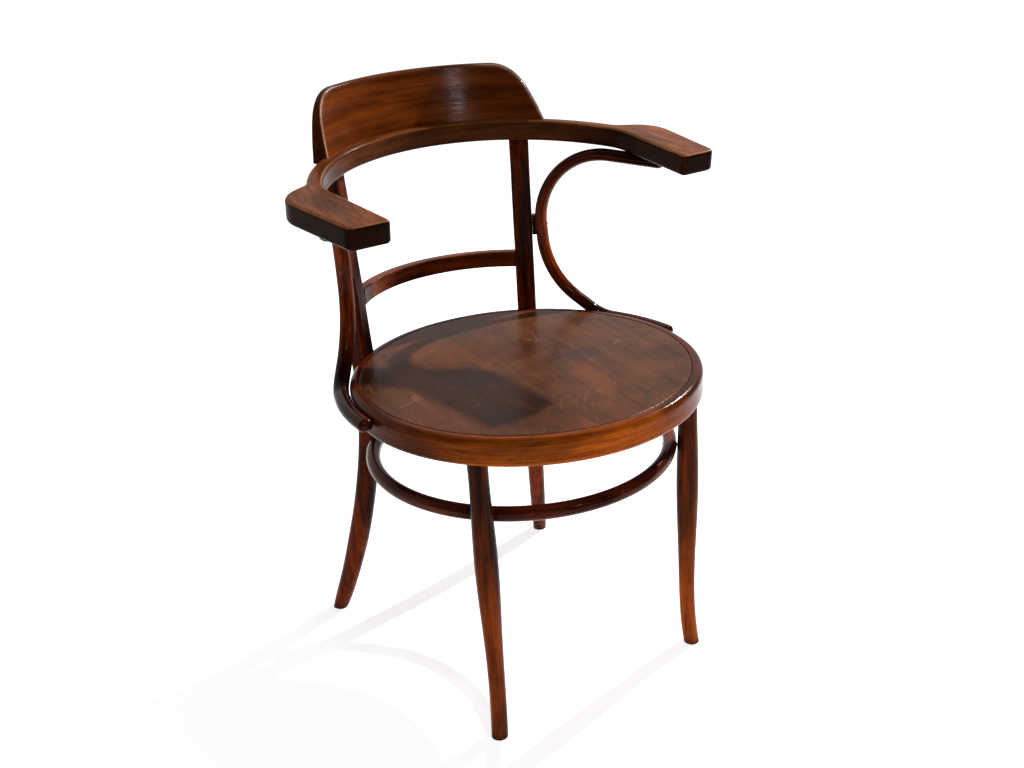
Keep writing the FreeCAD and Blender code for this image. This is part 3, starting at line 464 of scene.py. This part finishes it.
def painted_shade_and_end_stain(tree):
    """Painted shade on upright faces: most on the sawn ends, which also hold darker end-grain stain, then
    outside, then inside the arms.
    """
    normal = surface_normal(tree)
    lean = components(tree, normal)
    upright = arithmetic(tree, "SUBTRACT", 1.0, stretched(tree, lean[2], low=0.2, high=0.75))
    inside = arithmetic(tree, "MULTIPLY_ADD", arm_share(tree), inner_arm_shade, inner_back_shade)
    sides = between(tree, stretched(tree, turned_out(tree, normal), low=-0.4, high=0.4), inside, outer_shade)
    ends = arithmetic(tree, "MULTIPLY", stretched(tree, lean[1], low=-0.7, high=-0.95), end_stain_and_shade)
    ends = arithmetic(tree, "MULTIPLY", ends, arm_share(tree))
    return arithmetic(tree, "MAXIMUM", arithmetic(tree, "MULTIPLY", upright, sides), ends)


def hand_wear(tree):
    """Wear along the rounded upper edges, strongest on the arms."""
    reach = arithmetic(tree, "MULTIPLY_ADD", arm_share(tree), arm_rub, back_rub)
    return arithmetic(tree, "MULTIPLY", rounded_edge(low=0.35, high=0.75, top=0.99)(tree), reach)


bow_beech = stained_material("bow_beech", bent_space(bow_axis, bow_radius, is_open=True), bow_tones,
                             wear=hand_wear, grime_and_shade=painted_shade_and_end_stain, gloss=0.022, contrast=0.7)
dress(bow_beech, "arm_bow", "arm_cheek_left", "arm_cheek_right")


# Lower back slat: a thin slat of bent beech, tenoned between the posts.
# Its rounded top edge is rubbed paler, and the rest has kept its dark stain.

slat_axis = (0, 0.05457, 0)
slat_radius = 0.188
slat_tones = ((0.025, 0.004, 0.0006), (0.29, 0.045, 0.004), (0.45, 0.16, 0.045))
slat_beech = stained_material("slat_beech", bent_space(slat_axis, slat_radius, is_open=True), slat_tones,
                              wear=rounded_edge(low=0.25, high=0.6, top=0.96), contrast=0.75)
dress(slat_beech, "lower_back_slat")


# Back panel: a leaning board of bent beech, rebated over the bow's back edge and held by hidden dowels.
# Its edges are rounded over and rubbed pale, and its face keeps fine level grain under a satin polish.

def attribute_space(label):
    """Maker that reads a vector that a mesh carries at each point."""
    def make(tree):
        return shader_node(tree, "ShaderNodeAttribute", attribute_name=label).outputs["Vector"]
    return make


def sewn_piece(name, patches, material):
    """One closed mesh from grids whose borders meet. Each grid point holds its place in millimetres about the
    seat's axis, its grain space in millimetres and its rub from 0 to 1; neighbours in a grid make a face."""
    millimetres, seam_reach, sharp_turn = 1000, 0.00001, math.radians(50)
    faces, start = [], 0
    for patch in patches:
        rows, columns = patch.shape[:2]
        index = start + np.arange(rows * columns).reshape(rows, columns)
        corners = (index[:-1, :-1], index[1:, :-1], index[1:, 1:], index[:-1, 1:])
        faces.append(np.stack(corners, axis=-1).reshape(-1, 4))
        start += rows * columns
    points = np.concatenate([patch.reshape(-1, 7) for patch in patches])
    places = points[:, 0:3] / millimetres + np.array(seat_axis)
    mesh = bpy.data.meshes.new(name)
    mesh.from_pydata(places.tolist(), [], np.concatenate(faces).tolist())
    grain = mesh.attributes.new("grain", "FLOAT_VECTOR", "POINT")
    grain.data.foreach_set("vector", (points[:, 3:6] / millimetres).astype(np.float32).ravel())
    rub = mesh.attributes.new("rub", "FLOAT", "POINT")
    rub.data.foreach_set("value", points[:, 6].astype(np.float32))
    seams = bmesh.new()
    seams.from_mesh(mesh)
    bmesh.ops.remove_doubles(seams, verts=seams.verts, dist=seam_reach)
    bmesh.ops.recalc_face_normals(seams, faces=seams.faces)
    seams.to_mesh(mesh)
    seams.free()
    mesh.shade_smooth()
    mesh.set_sharp_from_angle(angle=sharp_turn)
    mesh.materials.append(material)
    piece = bpy.data.objects.new(name, mesh)
    bpy.context.scene.collection.objects.link(piece)
    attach(piece, "root")
    return piece


bow_level, bow_setback, bow_rise = 713.2, -15.0, 0.1
panel_height, panel_foot_radius, panel_lean, panel_back_lean = 74.0, 261.534, 0.45, 0.2473
panel_foot_thickness, panel_rebate_share, panel_lip = 22.5, 0.4267, 9.0
panel_foot_angle, panel_end_angle = math.radians(42), math.radians(37.005)
panel_end_slant = math.radians(0.135)
panel_corner, panel_round, lip_blend = 34.0, 2.5, 12.0
end_steps, corner_steps, top_steps, round_steps, climb_steps = 25, 37, 41, 7, 25
top_rub, rub_middle, rub_width, rub_patchiness = 0.12, 0.45, 0.4, 0.6
# Strength of the painted shade on the panel's ends and back
panel_end_shade = 0.6
panel_tones = ((0.085, 0.016, 0.0015), (0.22, 0.045, 0.004), (0.85, 0.55, 0.36))


def panel_end_side(rise, turned_in):
    """How far an end's outline lies past the end's radial line at a rise: radius times tangent of angle."""
    angle = panel_foot_angle - panel_end_slant * rise - turned_in - panel_end_angle
    return (panel_foot_radius + panel_lean * rise) * np.tan(angle)


def panel_half_outline():
    """Angle and rise from the left foot to the top's middle: a slanting line, a curve with one control point
    over the corner, and a level line. The third row is 1 where the wall runs along the end's radial line,
    and falls to 0 over the first third of the level line."""
    waist = panel_height - panel_corner
    line = np.linspace(0, waist, end_steps)[:-1]
    step = np.linspace(0, 1, corner_steps)[:-1]
    turned_in = panel_corner / (panel_foot_radius + panel_lean * panel_height)
    corner, flat = panel_end_side(panel_height, 0), panel_end_side(panel_height, turned_in)
    start = panel_end_side(waist, 0)
    curve_side = (1 - step) ** 2 * start + 2 * step * (1 - step) * corner + step ** 2 * flat
    curve_rise = (1 - step) ** 2 * waist + (1 - (1 - step) ** 2) * panel_height
    side = np.concatenate((panel_end_side(line, 0), curve_side))
    rise = np.concatenate((line, curve_rise))
    angle = panel_end_angle + np.arcsin(side / (panel_foot_radius + panel_lean * rise))
    top_start = panel_end_angle + math.asin(flat / (panel_foot_radius + panel_lean * panel_height))
    level = np.linspace(0, 1, top_steps)
    angle = np.concatenate((angle, top_start * (1 - level)))
    rise = np.concatenate((rise, np.full(level.size, panel_height)))
    squared = np.concatenate((np.ones(side.size), (1 - np.minimum(level * 3, 1)) ** 2))
    return np.stack((angle, rise, squared))


def panel_points(angle, radius, rise, rub):
    """Places of panel points, from an angle and radius about the bow's axis and a rise square to the sloping
    bow, with their grain space of run, radius and rise, and their rub."""
    ahead = np.array((0, 1, bow_rise)) / math.hypot(1, bow_rise)
    upward = np.array((0, -bow_rise, 1)) / math.hypot(1, bow_rise)
    sideways = radius * np.sin(angle)
    back = radius * np.cos(angle) + bow_setback
    place = sideways[..., None] * np.array((1, 0, 0)) + back[..., None] * ahead + rise[..., None] * upward
    place = place + np.array((0, 0, bow_level))
    return np.concatenate((place, np.stack((angle * panel_foot_radius, radius, rise, rub), axis=-1)), axis=-1)


def panel_patches():
    """Front face, back face, rounded walls round the ends and top, and the stepped underside.
    The outline is set in from its edge by round (1 - sine) and sunk by round (1 - cosine) over each arris."""
    half = panel_half_outline()
    mirrored = half * np.array((-1, 1, 1))[:, None]
    angle, rise, squared = np.concatenate((mirrored, half[:, -2::-1]), axis=1)
    inner = panel_foot_radius + panel_lean * rise
    along = np.stack((np.gradient(angle) * inner, np.gradient(rise)))
    along = along / np.linalg.norm(along, axis=0)
    over = np.linspace(0, math.pi / 2, round_steps)
    inset = panel_round * (1 - np.sin(over))
    sunk = panel_round * (1 - np.cos(over))
    set_in = np.concatenate((inset, (0, 0), inset[::-1]))[:, None]
    front_sunk = np.concatenate((sunk, (0, 0), 0 * sunk))[:, None]
    back_sunk = np.concatenate((0 * sunk, (0, 0), sunk[::-1]))[:, None]
    share = np.concatenate((0 * sunk, (panel_rebate_share,) * 2, 0 * sunk + 1))[:, None]
    lowest = np.concatenate((0 * sunk, (0, -panel_lip), inset[::-1] - panel_lip))[:, None]
    wall_rise = np.clip(rise - set_in * along[0], 0, None)
    wall_angle = angle + set_in * along[1] / inner
    inner = panel_foot_radius + panel_lean * wall_rise
    outer = panel_foot_radius + panel_foot_thickness + panel_back_lean * wall_rise
    radius = inner + front_sunk + share * (outer - inner) - back_sunk
    past_end = np.abs(wall_angle) - panel_end_angle
    straightened = np.arcsin(np.clip(inner * np.sin(past_end) / radius, -1, 1)) - past_end
    wall_angle = wall_angle + np.sign(wall_angle) * squared * straightened
    near_foot = np.clip(1 - wall_rise / lip_blend, 0, 1)
    wall_rise = wall_rise + lowest * near_foot
    on_front = np.concatenate((np.exp(-((over - rub_middle) / rub_width) ** 2), 0 * over, (0, 0)))[:, None]
    rub = (top_rub + (1 - top_rub) * squared) * on_front
    walls = panel_points(wall_angle, radius, wall_rise, rub)

    run = np.linspace(0, 1, angle.size)
    foot_angle = wall_angle[:, :1] + (wall_angle[:, -1:] - wall_angle[:, :1]) * run
    under = panel_points(foot_angle, radius[:, :1] + 0 * run, wall_rise[:, :1] + 0 * run, 0 * foot_angle)

    climb = np.linspace(0, 1, climb_steps)[:, None]
    faces = []
    for layer, first_radius, lean in ((0, panel_foot_radius, panel_lean),
                                      (-1, panel_foot_radius + panel_foot_thickness, panel_back_lean)):
        face_angle = foot_angle[layer] + (wall_angle[layer] - foot_angle[layer]) * climb
        face_rise = wall_rise[layer, 0] + (wall_rise[layer] - wall_rise[layer, 0]) * climb
        face_radius = first_radius + lean * np.clip(face_rise, 0, None)
        face_radius = face_radius + (radius[layer] - face_radius[-1]) * climb
        away = np.hypot((face_angle - wall_angle[layer]) * face_radius, face_rise - wall_rise[layer])
        face_rub = rub[layer] * np.exp(-away)
        faces.append(panel_points(face_angle, face_radius, face_rise, face_rub))
    return [walls, under, *faces]


def rubbed(tree):
    """Wear by the rub that the mesh carries, broken up along the edge."""
    rub = shader_node(tree, "ShaderNodeAttribute", attribute_name="rub").outputs["Fac"]
    patchy = noise_mask(tree, object_position(tree), along=60, across=60, detail=3, low=0.25, high=0.6)
    patchy = arithmetic(tree, "MULTIPLY_ADD", patchy, rub_patchiness, 1 - rub_patchiness)
    return arithmetic(tree, "MULTIPLY", rub, patchy)


def painted_panel_shade(tree):
    """Painted shade on the panel's ends and back."""
    facing = stretched(tree, turned_out(tree, surface_normal(tree)), low=-0.65, high=-0.25)
    return arithmetic(tree, "MULTIPLY", facing, panel_end_shade)


panel_beech = stained_material("panel_beech", attribute_space("grain"), panel_tones, wear=rubbed,
                               grime_and_shade=painted_panel_shade, gloss=0.09, polish=0.09, relief=0.0001, contrast=0.5)
back_panel = sewn_piece("back_panel_board", panel_patches(), panel_beech)
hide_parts("back_panel")
dress(leg_beech, "back_panel_dowels")


# Side braces: beech rods bent to an open loop from under the arm, past the post and down to the hoop.
# Each is screwed up into the arm, sideways into its post over a spacer, and from inside the hoop.

brace_corners = np.array((
    (260.089, 22.0, 676.91), (163.659, 195.438, 694.254), (169.981, 179.0, 497.0),
    (224.328, 117.831, 432.5), (251.1, 44.276, 432.5), (251.1, -4.0, 432.5),
))
brace_radii = (103.0, 130.0, 50.0, 251.1)
brace_half_width, brace_half_thickness, brace_nose = 10.8, 9.0, 8.0
brace_wide = np.array((0.874, 0.486, 0))
run_steps, arc_steps, nose_steps, round_brace_steps = 12, 40, 9, 33
brace_grain_apart = 900
# Strength of the painted shade on the braces under the arm and beside the seat
under_arm_shade, beside_seat_shade = 0.75, 0.88
brace_tones = ((0.035, 0.005, 0.0005), (0.5, 0.075, 0.002))


def bent_run(corners, radii):
    """Points along straight runs joined by arcs: each arc is its centre plus the radius times the cosine and
    sine of the turn along two square directions, and touches both runs."""
    pieces, start = [], corners[0]
    run = np.linspace(0, 1, run_steps)[1:, None]
    for before, corner, after, radius in zip(corners, corners[1:], corners[2:], radii):
        to_before = (before - corner) / np.linalg.norm(before - corner)
        to_after = (after - corner) / np.linalg.norm(after - corner)
        half = math.acos(to_before @ to_after) / 2
        bisector = (to_before + to_after) / np.linalg.norm(to_before + to_after)
        touch = corner + to_before * (radius / math.tan(half))
        centre = corner + bisector * (radius / math.sin(half))
        turn = np.linspace(0, math.pi - 2 * half, arc_steps)[:, None]
        arc = centre + (touch - centre) * np.cos(turn) - to_before * radius * np.sin(turn)
        pieces += [start + (touch - start) * run[:-1], arc]
        start = arc[-1]
    pieces.append(start + (corners[-1] - start) * run)
    return np.concatenate((corners[:1], *pieces))


def brace_patch(side):
    """Oval rod: half width and half thickness times cosine and sine about the run, drawn in at both ends by
    a quarter circle. Side is 1 for the left brace and -1 for the right one."""
    run = bent_run(brace_corners, brace_radii)
    along = np.gradient(run, axis=0)
    along = along / np.linalg.norm(along, axis=1)[:, None]
    close = np.linspace(0, math.pi / 2, nose_steps)
    nose = np.sin(close)[1:, None] * brace_nose
    centre = np.concatenate((run[0] - along[0] * nose[::-1], run, run[-1] + along[-1] * nose))
    first, last = np.repeat(along[:1], nose.size, axis=0), np.repeat(along[-1:], nose.size, axis=0)
    along = np.concatenate((first, along, last))
    size = np.concatenate((np.cos(close)[:0:-1], np.ones(len(run)), np.cos(close)[1:]))[:, None]
    wide = brace_wide - (along @ brace_wide)[:, None] * along
    wide = wide / np.linalg.norm(wide, axis=1)[:, None]
    thick = np.cross(wide, along)
    around = np.linspace(0, 2 * math.pi, round_brace_steps)
    level = size * brace_half_width * np.cos(around)
    rise = size * brace_half_thickness * np.sin(around)
    place = centre[:, None] + level[..., None] * wide[:, None] + rise[..., None] * thick[:, None]
    length = np.concatenate(((0,), np.cumsum(np.linalg.norm(np.diff(centre, axis=0), axis=1))))
    run_of_grain = length[:, None] + 0 * level + brace_grain_apart * side
    grain = np.stack((run_of_grain, level, rise, 0 * level), axis=-1)
    return np.concatenate((place * np.array((side, 1, 1)), grain), axis=-1)


def painted_brace_shade(tree):
    """Painted shade on the rod towards the arm and beside the seat, where the arm and the hoop shade it."""
    height = height_up(tree)
    under_arm = stretched(tree, height, low=0.58, high=0.69)
    under_arm = arithmetic(tree, "MULTIPLY", under_arm, under_arm_shade)
    beside_seat = stretched(tree, height, low=0.54, high=0.435)
    beside_seat = arithmetic(tree, "MULTIPLY", beside_seat, beside_seat_shade)
    return arithmetic(tree, "ADD", under_arm, beside_seat)


brace_beech = stained_material("brace_beech", attribute_space("grain"), brace_tones, grime_and_shade=painted_brace_shade,
                               gloss=0.07, contrast=1.2, polish=0.05)
for label, side in (("left", 1), ("right", -1)):
    rod = sewn_piece("side_brace_rod_" + label, [brace_patch(side)], brace_beech)
    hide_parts("side_brace_" + label)


# Floor and light: a white studio floor under a bright backdrop, both shown white to the eye and in polish.
# One small lamp high on the chair's left throws the hard shadows; a weak one in front and one above give
# the varnish its sheen. Near the chair the floor also glows onto the chair, a painted light from below.

floor_size, floor_paint = 60, (0.9, 0.9, 0.9, 1)
near_white, far_white_more, painted_floor_glow = 0.72, 0.28, 0.8
bpy.ops.mesh.primitive_plane_add(size=floor_size)
floor = bpy.context.object
floor.name = "floor"
floor_white = bpy.data.materials.new("floor_white")
floor_white.use_nodes = True
tree = floor_white.node_tree
tree.nodes.remove(tree.nodes["Principled BSDF"])
paint = shader_node(tree, "ShaderNodeBsdfDiffuse", {"Color": floor_paint})
away = vector_arithmetic(tree, "LENGTH", object_position(tree))
white = arithmetic(tree, "MULTIPLY_ADD", stretched(tree, away, low=0.4, high=1.6), far_white_more, near_white)
# Painted light: near the chair the floor glows, seen only by light that bounces off it onto the chair
near_chair = arithmetic(tree, "SUBTRACT", 1.0, stretched(tree, away, low=0.3, high=1.4))
glow_onto_chair = arithmetic(tree, "MULTIPLY", near_chair, painted_floor_glow)
ray = shader_node(tree, "ShaderNodeLightPath").outputs
mirrored = arithmetic(tree, "MAXIMUM", ray["Is Glossy Ray"], ray["Is Transmission Ray"])
shown = arithmetic(tree, "MAXIMUM", ray["Is Camera Ray"], mirrored)
glow_seen = arithmetic(tree, "MULTIPLY", shown, white)
painted_glow_onto_chair = arithmetic(tree, "MULTIPLY", ray["Is Diffuse Ray"], glow_onto_chair)
glow = shader_node(tree, "ShaderNodeEmission", {"Strength": arithmetic(tree, "ADD", glow_seen, painted_glow_onto_chair)})
both = shader_node(tree, "ShaderNodeAddShader", {0: paint.outputs[0], 1: glow.outputs[0]})
tree.links.new(both.outputs[0], tree.nodes["Material Output"].inputs["Surface"])
floor.data.materials.append(floor_white)

dim_front, dim_back_more = 0.1, 0.25
world = bpy.data.worlds.new("studio")
bpy.context.scene.world = world
world.use_nodes = True
tree = world.node_tree
direction = shader_node(tree, "ShaderNodeTexCoord").outputs["Generated"]
backdrop = stretched(tree, components(tree, direction)[1], low=-0.1, high=0.6)
dim_room = arithmetic(tree, "MULTIPLY_ADD", backdrop, dim_back_more, dim_front)
ray = shader_node(tree, "ShaderNodeLightPath").outputs
mirrored = arithmetic(tree, "MAXIMUM", ray["Is Glossy Ray"], ray["Is Transmission Ray"])
room = between(tree, mirrored, dim_room, backdrop)
strength = arithmetic(tree, "MAXIMUM", room, ray["Is Camera Ray"])
tree.links.new(strength, tree.nodes["Background"].inputs["Strength"])
tree.nodes["Background"].inputs["Color"].default_value = (1, 1, 1, 1)


def square_lamp(name, place, aim, size, power):
    """Square area lamp at a place, facing a point: metres and watts."""
    lamp = bpy.data.lights.new(name, "AREA")
    lamp.energy = power
    lamp.size = size
    lamp_object = bpy.data.objects.new(name, lamp)
    lamp_object.location = place
    lamp_object.rotation_mode = "QUATERNION"
    lamp_object.rotation_quaternion = (Vector(aim) - Vector(place)).to_track_quat("-Z", "Y")
    bpy.context.scene.collection.objects.link(lamp_object)


square_lamp("key_lamp", place=(2.1, 0.25, 2.0), aim=(0, 0, 0.4), size=0.05, power=85)
square_lamp("front_lamp", place=(0.28, -2.4, 2.15), aim=(0, 0.2, 0.75), size=0.2, power=6)
square_lamp("top_lamp", place=(-0.5, -0.8, 2.6), aim=(0, 0, 0.45), size=0.2, power=6)


# Camera: a hand-held view from the chair's right front, higher than the back and tipped a little.
# Its focal length is given in pixels of the picture's width.

turn, tilt, roll = math.radians(-33.2), math.radians(22.74), math.radians(-3.37)
camera_spot = (-0.836, -1.2641, 1.045)
picture_width, focal_length, sensor_width = 1024, 1181, 36
back = Vector((math.sin(turn) * math.cos(tilt), -math.cos(turn) * math.cos(tilt), math.sin(tilt)))
right = Vector((math.cos(turn), math.sin(turn), 0))
up = back.cross(right)
lens = bpy.data.cameras.new("camera")
lens.sensor_width = sensor_width
lens.lens = focal_length / picture_width * sensor_width
camera = bpy.data.objects.new("camera", lens)
frame_right = right * math.cos(roll) + up * math.sin(roll)
frame_up = up * math.cos(roll) - right * math.sin(roll)
camera_place = Matrix((frame_right, frame_up, back)).transposed().to_4x4()
camera_place.translation = camera_spot
camera.matrix_world = camera_place
bpy.context.scene.collection.objects.link(camera)
bpy.context.scene.camera = camera
bpy.context.scene.view_settings.view_transform = "Standard"
